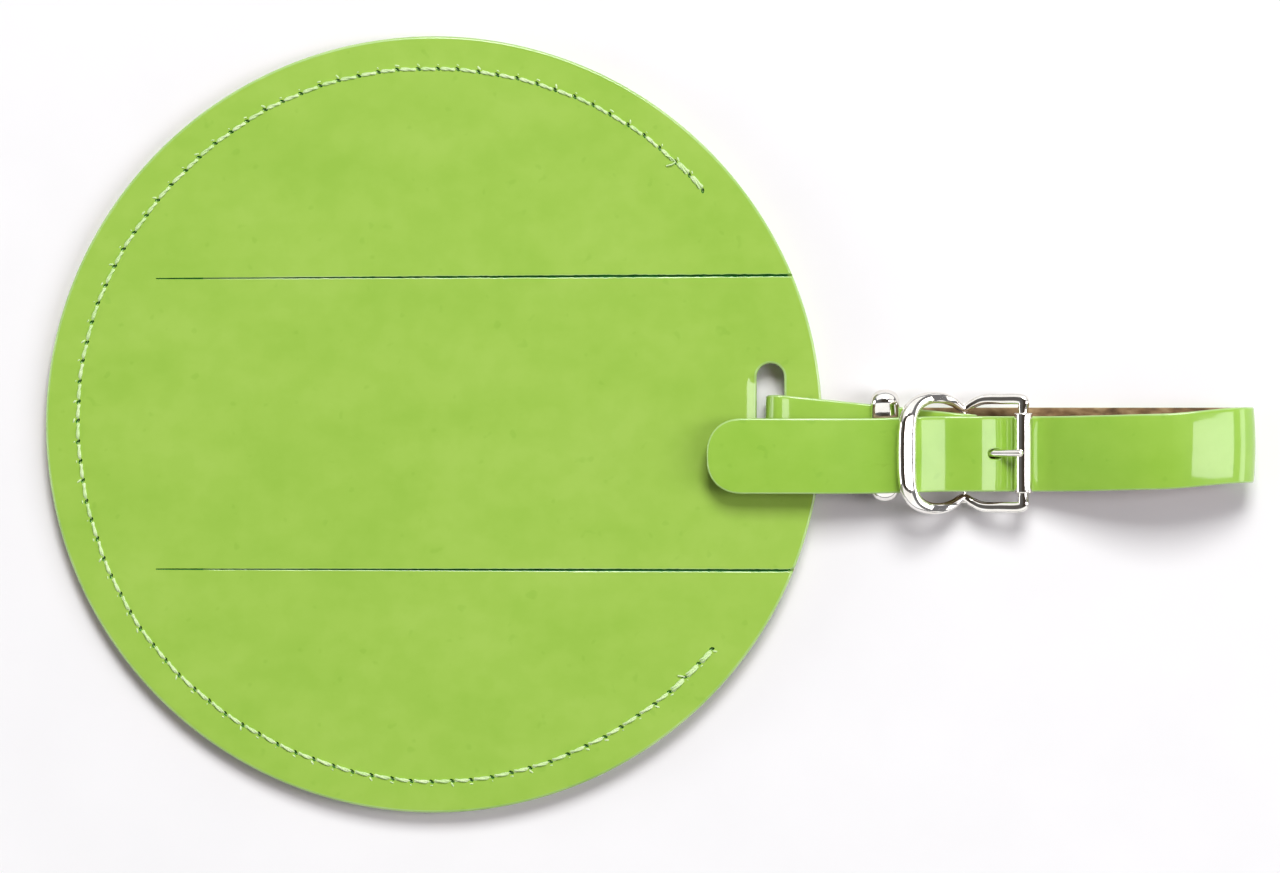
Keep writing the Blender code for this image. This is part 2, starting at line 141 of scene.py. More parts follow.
class Nodes:
    """A short way to build a node tree: each call adds a node, sets its inputs and links any socket."""

    def __init__(self, tree):
        self.tree = tree

    def add(self, kind, inputs=None, **settings):
        node = self.tree.nodes.new(kind)
        for name, value in settings.items():
            setattr(node, name, value)
        for key, value in (inputs or {}).items():
            if isinstance(value, bpy.types.NodeSocket):
                self.tree.links.new(value, node.inputs[key])
            else:
                node.inputs[key].default_value = value
        return node

    def noise(self, place, scale, detail=2.0, stretch=None):
        if stretch:
            place = self.add("ShaderNodeMapping", {"Vector": place, "Scale": stretch}).outputs[0]
        inputs = {"Vector": place, "Scale": scale, "Detail": detail}
        return self.add("ShaderNodeTexNoise", inputs).outputs[0]

    def ramp(self, factor, *stops):
        node = self.add("ShaderNodeValToRGB", {"Fac": factor})
        ramp = node.color_ramp
        while len(ramp.elements) < len(stops):
            ramp.elements.new(1.0)
        for element, (position, colour) in zip(ramp.elements, stops):
            element.position = position
            element.color = (*colour, 1.0)
        return node.outputs[0]

    def mix(self, factor, a, b, blend="MIX"):
        node = self.add("ShaderNodeMix", data_type="RGBA", blend_type=blend)
        for socket, value in zip((node.inputs[0], node.inputs[6], node.inputs[7]), (factor, a, b)):
            if isinstance(value, bpy.types.NodeSocket):
                self.tree.links.new(value, socket)
            else:
                socket.default_value = value
        return node.outputs[2]

    def scaled(self, value, factor, offset=0.0):
        inputs = {0: value, 1: factor, 2: offset}
        return self.add("ShaderNodeMath", inputs, operation="MULTIPLY_ADD").outputs[0]

    def bump(self, height, distance, strength=1.0, normal=None):
        inputs = {"Height": height, "Distance": distance, "Strength": strength}
        if normal is not None:
            inputs["Normal"] = normal
        return self.add("ShaderNodeBump", inputs).outputs[0]


def new_material(name):
    made = bpy.data.materials.new(name)
    made.use_nodes = True
    nodes = Nodes(made.node_tree)
    shader = made.node_tree.nodes["Principled BSDF"]
    place = nodes.add("ShaderNodeTexCoord").outputs["Object"]
    return made, nodes, shader, place


def connect(nodes, shader, **sockets):
    for name, socket in sockets.items():
        nodes.tree.links.new(socket, shader.inputs[name.replace("_", " ")])


def patent_leather(name, deep, mid, light, gloss=0.05):
    """Lime patent film: a clear coat over a softly mottled colour, with a faint orange peel."""
    made, nodes, shader, place = new_material(name)
    cloud = nodes.noise(place, 95.0, 4.0, stretch=(0.7, 1.4, 1.0))
    fine = nodes.noise(place, 1500.0, 2.0)
    tone = nodes.ramp(cloud, (0.32, deep), (0.5, mid), (0.68, light))
    patch = nodes.ramp(nodes.noise(place, 330.0, 3.0), (0.40, (0.955, 0.975, 0.92)), (0.60, (1, 1, 1)))
    speck = nodes.ramp(nodes.noise(place, 520.0, 1.0), (0.24, (0.82, 0.9, 0.78)), (0.3, (1, 1, 1)))
    colour = nodes.mix(0.5, nodes.mix(1.0, tone, patch, "MULTIPLY"), speck, "MULTIPLY")
    peel = nodes.bump(nodes.noise(place, 240.0, 1.0), 0.00012, 0.10)
    grain = nodes.bump(fine, 0.00002, 0.25, peel)
    rough = nodes.scaled(cloud, 0.10, 0.26)
    connect(nodes, shader, Base_Color=colour, Roughness=rough, Normal=grain, Coat_Normal=peel)
    shader.inputs["Coat Weight"].default_value = 1.0
    shader.inputs["Coat Roughness"].default_value = gloss
    shader.inputs["Coat IOR"].default_value = 1.5
    shader.inputs["Specular IOR Level"].default_value = 0.25
    return made


def painted_slit_shade(name):
    """The cut walls of the slits and needle holes, a matt dark green painted as the shade inside them."""
    made, nodes, shader, place = new_material(name)
    fibre = nodes.noise(place, 900.0, 5.0)
    colour = nodes.ramp(fibre, (0.35, (0.03, 0.22, 0.04)), (0.65, (0.07, 0.36, 0.07)))
    connect(nodes, shader, Base_Color=colour, Roughness=nodes.scaled(fibre, 0.2, 0.7),
            Normal=nodes.bump(fibre, 0.0001, 0.5))
    shader.inputs["Specular IOR Level"].default_value = 0.05
    return made


def leather_core(name):
    """The raw bonded-leather core and underside: brown, fibrous and matt."""
    made, nodes, shader, place = new_material(name)
    fibre = nodes.noise(place, 900.0, 6.0, stretch=(0.45, 1.0, 1.6))
    clump = nodes.noise(place, 260.0, 4.0)
    shade = nodes.ramp(fibre, (0.3, (0.10, 0.055, 0.022)), (0.5, (0.30, 0.19, 0.085)),
                       (0.7, (0.52, 0.38, 0.20)))
    tint = nodes.ramp(clump, (0.35, (0.72, 0.66, 0.60)), (0.65, (1.0, 1.0, 1.0)))
    colour = nodes.mix(1.0, shade, tint, "MULTIPLY")
    rough = nodes.scaled(fibre, 0.2, 0.75)
    normal = nodes.bump(fibre, 0.00025, 0.9, nodes.bump(clump, 0.0003, 0.5))
    connect(nodes, shader, Base_Color=colour, Roughness=rough, Normal=normal)
    shader.inputs["Sheen Weight"].default_value = 0.15
    return made


def nickel(name):
    """Bright nickel plate with faint polishing lines and a little unevenness from the casting."""
    made, nodes, shader, place = new_material(name)
    wave = nodes.noise(place, 420.0, 2.0)
    lines = nodes.noise(place, 3000.0, 2.0, stretch=(1.0, 0.12, 1.0))
    colour = nodes.ramp(wave, (0.3, (0.80, 0.77, 0.71)), (0.7, (0.92, 0.90, 0.86)))
    rough = nodes.scaled(lines, 0.08, 0.03)
    normal = nodes.bump(lines, 0.000006, 0.35, nodes.bump(wave, 0.00006, 0.35))
    connect(nodes, shader, Base_Color=colour, Roughness=rough, Normal=normal)
    shader.inputs["Metallic"].default_value = 1.0
    return made


def sewing_thread(name):
    made, nodes, shader, place = new_material(name)
    fibre = nodes.noise(place, 5200.0, 3.0)
    tone = nodes.noise(place, 300.0, 1.0)
    colour = nodes.mix(0.5, nodes.ramp(fibre, (0.3, (0.48, 0.74, 0.25)), (0.7, (0.76, 0.95, 0.50))),
                       nodes.ramp(tone, (0.35, (0.56, 0.82, 0.32)), (0.65, (0.82, 0.96, 0.58))))
    connect(nodes, shader, Base_Color=colour, Roughness=nodes.scaled(fibre, 0.2, 0.45),
            Normal=nodes.bump(fibre, 0.00003, 0.6))
    shader.inputs["Sheen Weight"].default_value = 0.3
    return made


def address_paper(name):
    """Off-white card with plain ruled lines to write on."""
    made, nodes, shader, place = new_material(name)
    fibre = nodes.noise(place, 1400.0, 5.0)
    split = nodes.add("ShaderNodeSeparateXYZ", {0: place})
    row = nodes.add("ShaderNodeMath", {0: split.outputs["Y"], 1: 0.007}, operation="PINGPONG").outputs[0]
    line = nodes.add("ShaderNodeMath", {0: row, 1: 0.00012}, operation="LESS_THAN").outputs[0]
    inside = nodes.add("ShaderNodeMath", {0: split.outputs["X"], 1: 0.0, 2: 0.032},
                       operation="COMPARE").outputs[0]
    ruled = nodes.add("ShaderNodeMath", {0: line, 1: inside}, operation="MULTIPLY").outputs[0]
    paper = nodes.ramp(fibre, (0.3, (0.72, 0.70, 0.64)), (0.7, (0.84, 0.83, 0.78)))
    colour = nodes.mix(ruled, paper, (0.25, 0.29, 0.33, 1.0))
    connect(nodes, shader, Base_Color=colour, Roughness=nodes.scaled(fibre, 0.2, 0.7),
            Normal=nodes.bump(fibre, 0.00004, 0.5))
    return made


def floor_white(name):
    made, nodes, shader, place = new_material(name)
    fine = nodes.noise(place, 60.0, 3.0)
    colour = nodes.ramp(fine, (0.3, (0.93, 0.93, 0.93)), (0.7, (0.95, 0.95, 0.95)))
    connect(nodes, shader, Base_Color=colour, Roughness=nodes.scaled(fine, 0.1, 0.85))
    shader.inputs["Specular IOR Level"].default_value = 0.1
    return made


PATENT = patent_leather(
    "lime_patent", (0.350, 0.590, 0.078), (0.374, 0.612, 0.087), (0.394, 0.628, 0.097))
STRAP_PATENT = patent_leather(
    "lime_strap_patent", (0.312, 0.575, 0.060), (0.334, 0.592, 0.067), (0.350, 0.606, 0.075))
# a paler film, painted as the highlight that the rounded rims and the lips of cuts catch
RIM_HIGHLIGHT_FILM = patent_leather(
    "lime_patent_painted_rim_highlight", (0.36, 0.60, 0.14), (0.42, 0.66, 0.19), (0.50, 0.72, 0.27), 0.12)
CORE = leather_core("brown_leather_core")
NICKEL = nickel("polished_nickel")
LIME_THREAD = sewing_thread("lime_thread")
PAPER = address_paper("ruled_card")
BACK_LEATHERS = (PATENT, RIM_HIGHLIGHT_FILM, CORE)
STRAP_LEATHERS = (STRAP_PATENT, RIM_HIGHLIGHT_FILM, CORE)
# the front also carries the slit walls' matt dark green, which is painted shade
FRONT_LEATHERS = (*BACK_LEATHERS, painted_slit_shade("green_slit_wall_painted_shade"))


# ---------------------------------------------------------------- mesh helpers

def arc(centre, radius, start, end, steps):
    """Points of an arc from start to end, in degrees."""
    angles = [math.radians(angle) for angle in spaced(start, end, steps)]
    return [(centre[0] + radius * math.cos(a), centre[1] + radius * math.sin(a)) for a in angles]


def spaced(start, end, steps):
    return [start + (end - start) * i / steps for i in range(steps + 1)]


def ease(value, start, end):
    """0 at start and 1 at end, with a smooth run between them."""
    share = min(max((value - start) / (end - start), 0.0), 1.0)
    return share * share * (3 - 2 * share)


def smooth(points, steps):
    """A Catmull-Rom curve through points, steps pieces to each span."""
    points = [Vector(p) for p in points]
    ends = [2 * points[0] - points[1], *points, 2 * points[-1] - points[-2]]
    made = []
    for before, a, b, after in zip(ends, ends[1:], ends[2:], ends[3:]):
        for i in range(steps):
            t = i / steps
            bend = (2 * before - 5 * a + 4 * b - after) * t * t
            twist = (3 * a - before - 3 * b + after) * t**3
            made.append((2 * a + (b - before) * t + bend + twist) / 2)
    return [tuple(p) for p in made + [points[-1]]]


def piece(name, shape, place, materials, body=None, smooth_angle=40):
    """An object from a bmesh laid out in millimetres. It rides on body, if one is given."""
    data = bpy.data.meshes.new(name)
    shape.transform(place)
    shape.to_mesh(data)
    shape.free()
    for material in materials:
        data.materials.append(material)
    data.shade_smooth()
    data.set_sharp_from_angle(angle=math.radians(smooth_angle))
    made = bpy.data.objects.new(name, data)
    bpy.context.scene.collection.objects.link(made)
    if body:
        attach(made, body)
    return made


def even_normals(obj):
    step = obj.modifiers.new("normals", "WEIGHTED_NORMAL")
    step.keep_sharp = True
    step.weight = 80


def mesh_of(obj):
    """The evaluated object as a bmesh, with the object and its data removed."""
    bpy.context.view_layer.update()
    graph = bpy.context.evaluated_depsgraph_get()
    data = bpy.data.meshes.new_from_object(obj.evaluated_get(graph))
    shape = bmesh.new()
    shape.from_mesh(data)
    bpy.data.meshes.remove(data)
    bpy.data.objects.remove(obj)
    bmesh.ops.remove_doubles(shape, verts=shape.verts, dist=1e-5)
    return shape


def object_of(name, shape):
    data = bpy.data.meshes.new(name)
    shape.to_mesh(data)
    shape.free()
    made = bpy.data.objects.new(name, data)
    bpy.context.scene.collection.objects.link(made)
    return made


def plate(loops, low, high, edge):
    """A flat plate with rounded rims from closed loops, which are the plate's true outlines."""
    curve = bpy.data.curves.new("plate", "CURVE")
    curve.dimensions = "2D"
    curve.fill_mode = "BOTH"
    curve.extrude = (high - low) / 2 - edge
    curve.bevel_depth = edge
    curve.bevel_resolution = 3
    curve.offset = -edge
    for loop in loops:
        spline = curve.splines.new("POLY")
        spline.points.add(len(loop) - 1)
        for point, (x, y) in zip(spline.points, loop):
            point.co = (x, y, 0, 1)
        spline.use_cyclic_u = True
    made = bpy.data.objects.new("plate", curve)
    made.location.z = (low + high) / 2
    bpy.context.scene.collection.objects.link(made)
    shape = mesh_of(made)
    bmesh.ops.translate(shape, verts=shape.verts, vec=(0, 0, (low + high) / 2))
    bmesh.ops.recalc_face_normals(shape, faces=shape.faces)
    return shape


def cut(shape, cutter):
    """shape less cutter, both bmeshes in millimetres."""
    made, tool = object_of("cut", shape), object_of("tool", cutter)
    step = made.modifiers.new("cut", "BOOLEAN")
    step.object = tool
    step.solver = "EXACT"
    result = mesh_of(made)
    bpy.data.objects.remove(tool)
    return result


def slice_at(shape, axis, values, wanted=None):
    """Adds cuts straight across an axis, through every face or through the wanted ones."""
    for value in values:
        verts, edges, faces = shape.verts, shape.edges, shape.faces
        if wanted:
            faces = [face for face in shape.faces if wanted(face)]
            edges = dict.fromkeys(edge for face in faces for edge in face.edges)
            verts = dict.fromkeys(vert for face in faces for vert in face.verts)
        point, normal = Vector((0, 0, 0)), Vector((0, 0, 0))
        point[axis], normal[axis] = value, 1
        bmesh.ops.bisect_plane(shape, geom=[*verts, *edges, *faces], plane_co=point, plane_no=normal,
                               dist=1e-5)


def paint_leather(shape, top, face_up=True):
    """Film on the outer face, a paler film over its rounded rim painted as a highlight, and raw core
    everywhere else.
    """
    sign = 1 if face_up else -1
    flat, leaning = 0.985, 0.12
    shape.normal_update()
    for face in shape.faces:
        rise = face.normal.z * sign
        near = abs(face.calc_center_median().z - top) < EDGE + 0.05
        if near and rise > flat:
            face.material_index = FILM
        elif near and rise > leaning:
            face.material_index = PAINTED_RIM_HIGHLIGHT
        else:
            face.material_index = RAW_CORE


def bridge(shape, rings):
    """Faces between each ring of verts and the next."""
    for first, second in zip(rings, rings[1:]):
        for j in range(len(first)):
            k = (j + 1) % len(first)
            shape.faces.new((first[j], first[k], second[k], second[j]))


def close_ends(shape, rings):
    shape.faces.new(list(reversed(rings[0])))
    shape.faces.new(rings[-1])


def sweep(centres, sections, ups, closed=False):
    """A skin through sections of (across, up) offsets, each in the plane across the path there."""
    shape = bmesh.new()
    rings = []
    count = len(centres)
    for i, (centre, section, up) in enumerate(zip(centres, sections, ups)):
        before = centres[i - 1] if i or closed else centre
        after = centres[(i + 1) % count] if i + 1 < count or closed else centre
        along = (Vector(after) - Vector(before)).normalized()
        across = Vector(up).cross(along).normalized()
        upward = along.cross(across)
        rings.append([shape.verts.new(Vector(centre) + across * u + upward * v) for u, v in section])
    if closed:
        bridge(shape, [*rings, rings[0]])
    else:
        bridge(shape, rings)
        close_ends(shape, rings)
    bmesh.ops.recalc_face_normals(shape, faces=shape.faces)
    return shape


def ring(across, up, steps=20):
    """An elliptical section."""
    return [(across * math.cos(2 * math.pi * i / steps), up * math.sin(2 * math.pi * i / steps))
            for i in range(steps)]


def soft_box(across, up, steps=28, power=0.72):
    """A section between an ellipse and a box, with flattened faces."""
    made = []
    for i in range(steps):
        turn = 2 * math.pi * i / steps
        c, s = math.cos(turn), math.sin(turn)
        made.append((across * math.copysign(abs(c) ** power, c), up * math.copysign(abs(s) ** power, s)))
    return made


def join(shapes):
    """One bmesh made of several, which are used up."""
    whole = bmesh.new()
    for shape in shapes:
        data = bpy.data.meshes.new("part")
        shape.to_mesh(data)
        shape.free()
        whole.from_mesh(data)
        bpy.data.meshes.remove(data)
    return whole


# ---------------------------------------------------------------- the tag

def disc_loop(radius, steps=288):
    return arc((0, 0), radius, 0, 360 - 360 / steps, steps - 1)


def slot_loop():
    radius = (SLOT_X[1] - SLOT_X[0]) / 2
    x = SLOT_X[0] + radius
    upper = arc((x, SLOT_Y[1] - radius), radius, 0, 180, 24)
    lower = arc((x, SLOT_Y[0] + radius), radius, 180, 360, 24)
    return upper + lower


def stitch_angles():
    """The seam's needle holes, as angles round the tag in degrees, nearly even."""
    step = math.degrees(STITCH / SEAM_RADIUS)
    even = spaced(SEAM_START, SEAM_END, round((SEAM_END - SEAM_START) / step))
    return [angle + 0.10 * math.sin(i * 2.3) for i, angle in enumerate(even)]


def hole_places():
    """Needle holes as (x, y, angle), with a slight wander of the seam line."""
    made = []
    for i, angle in enumerate(stitch_angles()):
        radius = SEAM_RADIUS + 0.10 * math.sin(i * 0.37) + 0.05 * math.sin(i * 1.9)
        turn = math.radians(angle)
        made.append((radius * math.cos(turn), radius * math.sin(turn), turn))
    return made


def needle_pits(height, up):
    """Small slanted pits that the stitches dip into, as one cutter."""
    pits = bmesh.new()
    slant = 0.9
    for x, y, turn in hole_places():
        place = (Matrix.Translation((x, y, height)) @ Matrix.Rotation(turn + slant, 4, "Z")
                 @ Matrix.Diagonal((0.44, 0.25, 1, 1)))
        if not up:
            place = place @ Matrix.Rotation(math.pi, 4, "X")
        bmesh.ops.create_cone(pits, cap_ends=True, segments=10, radius1=0.45, radius2=1.25,
                              depth=1.0, matrix=place)
    return pits


def slit(left, right, low, high):
    """A ragged V-shaped cutter along a slit, from a hairline on the left to an open nick at the rim."""
    shape = bmesh.new()
    hairline, foot, shoulder, brim = 0.012, high - 0.5, high - 0.05, high + 0.01
    rows = []
    for share in spaced(0, 1, 260):
        x = left[0] + (right[0] - left[0]) * share
        y = left[1] + (right[1] - left[1]) * share
        ragged = min(share * 3, 1.0)
        torn = noise.noise((x * 1.7, y, 0)) + 0.6 * noise.noise((x * 4.1, y, 3))
        half = 0.045 + 0.12 * min(share * 1.6, 1.0) + 0.05 * torn * ragged + 0.25 * ease(x, 46.6, 47.4)
        y += 0.05 * noise.noise((x * 2.9, y, 7)) * ragged
        lip = half + 0.04 + 0.08 * min(share * 5, 1.0)
        profile = [(hairline, low), (hairline, foot), (half, shoulder), (lip, brim), (lip, high + 1)]
        section = [(-hairline, low), *profile, *[(-u, z) for u, z in reversed(profile[1:])]]
        rows.append([shape.verts.new((x, y + offset, z)) for offset, z in section])
    bridge(shape, rows)
    close_ends(shape, rows)
    bmesh.ops.recalc_face_normals(shape, faces=shape.faces)
    return shape


def in_flap(point):
    """Whether a point of the front leather belongs to the flap."""
    share = (point.x - SLIT_LEFT) / (TAG_RADIUS - SLIT_LEFT)
    high = SLIT_HIGH[0] + (SLIT_HIGH[1] - SLIT_HIGH[0]) * share
    low = SLIT_LOW[0] + (SLIT_LOW[1] - SLIT_LOW[0]) * share
    return point.x > SLIT_LEFT and low < point.y < high


def press_slot_lip(shape):
    """The strap has rolled the slot's left lip down a little, and dented the leather round its top."""
    for vertex in shape.verts:
        x, y, z = vertex.co
        along = ease(y, -9.5, -7.5) * (1 - ease(y, 5.2, 7.0))
        near = ease(x, SLOT_X[0] - 1.5, SLOT_X[0] - 0.1) * (1 - ease(x, SLOT_X[0] + 0.5, SLOT_X[0] + 0.9))
        from_top = math.hypot(x - (SLOT_X[0] + SLOT_X[1]) / 2, y - SLOT_Y[1] + 1.0)
        roll = 0.34 * along * near
        dent = 0.10 * (1 - ease(from_top, 1.7, 4.2)) * ease(y, 6.0, 8.0)
        vertex.co.z -= roll + dent


def front_leather():
    """The front, cut into the stitched pocket and the flap. They meet without a seam at the hinge line."""
    low = TAG_THICK - PANEL
    whole = plate([disc_loop(TAG_RADIUS), slot_loop()], low, TAG_THICK, EDGE)
    for heights in (SLIT_HIGH, SLIT_LOW):
        left, right = (SLIT_LEFT, heights[0]), (TAG_RADIUS + 2, heights[1])
        whole = cut(whole, slit(left, right, low - 1, TAG_THICK))
    whole = cut(whole, needle_pits(TAG_THICK, True))
    slice_at(whole, 0, spaced(SLIT_LEFT, SLIT_LEFT + HINGE_BEND, 14))
    slice_near_slot(whole)
    flap = whole.copy()
    for shape, wanted in ((flap, True), (whole, False)):
        away = [f for f in shape.faces if in_flap(f.calc_center_median()) != wanted]
        bmesh.ops.delete(shape, geom=away, context="FACES")
        paint_leather(shape, TAG_THICK)
        paint_slit_walls(shape)
    press_slot_lip(flap)
    pocket = piece("pocket_leather", whole, TAG_PLACE, FRONT_LEATHERS, "tag")
    even_normals(pocket)
    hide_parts("front_panel")
    flap = piece("flap_leather", flap, TAG_PLACE, FRONT_LEATHERS)
    even_normals(flap)
    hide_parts("privacy_flap")
    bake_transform(flap)


def slice_near_slot(shape):
    """Extra cuts round the slot, so that its lip can bend. The first three set its surroundings apart."""
    left, reach = 38.0, 18.0
    slice_at(shape, 0, [left])
    slice_at(shape, 1, [-reach, reach])

    def near_slot(face):
        centre = face.calc_center_median()
        return centre.x > left and abs(centre.y) < reach

    slice_at(shape, 0, [*spaced(SLOT_X[0] - 1.6, SLOT_X[0], 8), 47.0, 48.2], near_slot)
    slice_at(shape, 1, [-9.5, -8.5, 5.2, 5.7, 6.2, 6.7, 7.2, 8.4, 9.0, 10.0], near_slot)


def paint_slit_walls(shape):
    """The film is drawn over the lips of the slits and needle holes, painted paler there as a highlight, and
    their walls are painted a dark green as the shade inside them.
    """
    for face in shape.faces:
        centre = face.calc_center_median()
        by_slot = SLOT_X[0] - 0.6 < centre.x < SLOT_X[1] + 0.6 and abs(centre.y) < SLOT_Y[1] + 0.7
        inside = math.hypot(centre.x, centre.y) < TAG_RADIUS - 0.55 and not by_slot
        above_core = centre.z > TAG_THICK - PANEL + 0.03
        if inside and above_core and face.material_index != FILM:
            face.material_index = PAINTED_RIM_HIGHLIGHT if face.normal.z > 0.75 else SLIT_SHADE


def back_leather():
    whole = plate([disc_loop(TAG_RADIUS - 0.08), slot_loop()], 0, BACK_TOP, EDGE)
    whole = cut(whole, needle_pits(0, False))
    paint_leather(whole, 0, face_up=False)
    back = piece("back_leather", whole, TAG_PLACE, BACK_LEATHERS, "tag")
    even_normals(back)
    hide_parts("back_panel")


def yarn(start, end, height, up, lift, steps=9):
    """One stitch of two twisted plies between two holes. It dips into the leather at both ends."""
    start, end = Vector(start), Vector(end)
    along = (end - start).normalized()
    side = Vector((-along.y, along.x, 0))
    dip, twist = 0.30, 4.6
    plies = []
    for phase in (0.0, math.pi):
        centres = []
        for t in spaced(0, 1, steps - 1):
            arch = min(1.0, 5.5 * min(t, 1 - t))
            level = height + up * (lift * (arch * (2 - arch)) - dip * (1 - arch))
            turn = phase + t * twist
            centre = start.lerp(end, t) + side * (THREAD * 0.50 * math.cos(turn))
            centre.z = level + up * THREAD * 0.35 * math.sin(turn)
            centres.append(centre)
        plies.append(sweep(centres, [ring(THREAD * 0.80, THREAD * 0.66, 8)] * steps, [(0, 0, 1)] * steps))
    return join(plies)


def seam(name, height, up, node):
    """The row of stitches round the pocket, sewn back over itself at both ends."""
    holes = [Vector((x, y, 0)) for x, y, _ in hole_places()]
    stitches = []
    for i, (a, b) in enumerate(zip(holes, holes[1:])):
        gap = (b - a).normalized() * 0.24
        out = Vector((a.x, a.y, 0)).normalized() * 0.06
        stitches.append(yarn(a + gap - out, b - gap + out, height, up, 0.13))
        sewn_back = i < 2 or i > len(holes) - 5
        if sewn_back:
            stitches.append(yarn(a + gap + out * 4.5, b - gap + out * 3.2, height, up, 0.17))
        if up > 0:
            stitches.append(whisker(b + Vector((b.x, b.y, 0)).normalized() * 0.52, height, i))
    if up > 0:
        stitches += loose_ends(holes, height)
    made = piece(name, join(stitches), TAG_PLACE, [LIME_THREAD], "tag", 60)
    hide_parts(node)


def whisker(place, height, i):
    """A little of the lower thread, pulled up beside a needle hole."""
    size = 0.13 + 0.05 * math.sin(i * 1.7)
    turn = math.atan2(place.y, place.x) + 1.0 + 0.5 * math.sin(i * 2.9)
    way = Vector((math.cos(turn), math.sin(turn), 0))
    sunk, raised = Vector((0, 0, height - 0.08)), Vector((0, 0, height + 0.05))
    path = smooth([place - way * size * 1.6 + sunk, place + raised, place + way * size * 1.4 + sunk], 3)
    return sweep(path, [ring(size * 0.7, size * 0.6, 8)] * len(path), [(0, 0, 1)] * len(path))


def loose_ends(holes, height):
    """Short trimmed ends: two where the seam starts, and one where it stops."""
    made = []
    for anchor, ends in ((holes[2], ((-1.3, 0.9), (-1.2, -0.5))), (holes[-3], ((-0.9, 0.2),))):
        for dx, dy in ends:
            offsets = [(0, 0, height - 0.1), (dx * 0.4, dy * 0.6, height + 0.3), (dx, dy, height + 0.16)]
            path = smooth([anchor + Vector(offset) for offset in offsets], 5)
            made.append(sweep(path, [ring(0.10, 0.10, 8)] * len(path), [(0, 0, 1)] * len(path)))
    return made


# ---------------------------------------------------------------- the strap

def rear_y(x):
    """Where the rear leg's middle lies across, at a place along it. So with the other legs."""
    return -1.45 - 1.28 * ease(x, 46.5, 60.0)


def front_y(x):
    return -4.15 + 0.28 * ease(x, 55.0, 68.0) + 0.37 * ease(x, 80.0, 100.0) + 0.85 * ease(x, 95.0, 107.5)


def fixed_y(x):
    return -1.15 - 2.4 * (x - SLOT_X[1]) / (BAR_X - SLOT_X[1])


def fixed_z(x):
    """Height of the fixed end's top layer: over the rim, down into the keeper and up over the bar."""
    hump = FOLD_HUMP * (1 - ease(x, FOLD_X, FOLD_X + 1.65))
    drop = (UPPER_Z - FIXED_Z) * ease(x, 50.0, 57.8)
    rise = (BAR_Z + WRAP_RADIUS - FIXED_Z) * ease(x, 64.5, 69.0)
    return UPPER_Z + hump - drop + rise


def tail_z(x):
    """Height of the tail, which rises from the buckle and droops a little at its tip."""
    return 6.25 + 0.8 * ease(TAIL_X - x, 0.0, 12.0) - 0.45 * ease(TAIL_X - x, 12.0, 26.0)


def quarter(centre, across, up, start, end, steps):
    """Points of a quarter ellipse in X and height, from start to end in degrees."""
    return [(centre[0] + across * math.cos(math.radians(a)), centre[1] + up * math.sin(math.radians(a)))
            for a in spaced(start, end, steps)]


def strap_route():
    """The strap's middle line from its hidden end to its tip, as an array of (x, y, height) points."""
    low = BAR_Z - WRAP_RADIUS
    back = [(x, fixed_y(x), low + (RETURN_Z - low) * ease(BAR_X - x, 1.5, 8.0))
            for x in spaced(57.3, 69.4, 24)]
    wrap = [(x, fixed_y(x), z) for x, z in arc((BAR_X, BAR_Z), WRAP_RADIUS, -90, 90, 24)]
    top = [(x, fixed_y(x), fixed_z(x)) for x in spaced(BAR_X - 0.3, FOLD_X + 0.1, 80)]
    middle = (UPPER_Z + FOLD_HUMP + REAR_Z) / 2
    fold = []
    for x, z in (*quarter((FOLD_X, middle), FOLD_REACH, middle - REAR_Z, 90, 180, 20),
                 *quarter((FOLD_X + 0.9, middle), FOLD_REACH + 0.9, middle - REAR_Z, 184, 270, 20)):
        share = (z - REAR_Z) / (2 * (middle - REAR_Z))
        fold.append((x, fixed_y(x) * share + rear_y(x) * (1 - share), z))
    rear = [(x, rear_y(x), REAR_Z) for x in spaced(FOLD_X + 1.4, LOOP_LOW_X - 0.5, 80)]
    end = []
    for x, z in (*quarter((LOOP_LOW_X, LOOP_MIDDLE_Z), LOOP_END - LOOP_LOW_X, LOOP_MIDDLE_Z - REAR_Z,
                          -90, 0, 24),
                 *quarter((LOOP_HIGH_X, LOOP_MIDDLE_Z), LOOP_END - LOOP_HIGH_X, LOOP_TOP - LOOP_MIDDLE_Z,
                          3, 90, 30)):
        share = (z - REAR_Z) / (LOOP_TOP - REAR_Z)
        end.append((x, rear_y(x) * (1 - share) + front_y(x) * share, z))
    points = [(LOOP_HIGH_X, LOOP_TOP), (93.4, 9.62), (90.0, 8.55), (86.5, 6.95), (83.5, 5.45), (81.0, 4.25),
              (79.1, 3.55), (77.4, 3.33), (76.1, 3.46), (75.1, 3.7), (74.4, 4.1), (73.8, 4.6), (73.0, 5.05),
              (72.1, 5.34), (71.0, 5.45), (67.9, 5.47)]
    front = [(x, front_y(x), z) for x, z in smooth(points, 9)[1:]]
    front += [(x, front_y(x), 6.3 - 0.83 * ease(x, 62.8, 67.9)) for x in spaced(67.7, 62.5, 20)]
    tail = [(x, front_y(x), tail_z(x)) for x in spaced(TAIL_X, TIP_X, 48)[1:]]
    return np.array(back + wrap + top + fold + rear + end + front + tail)


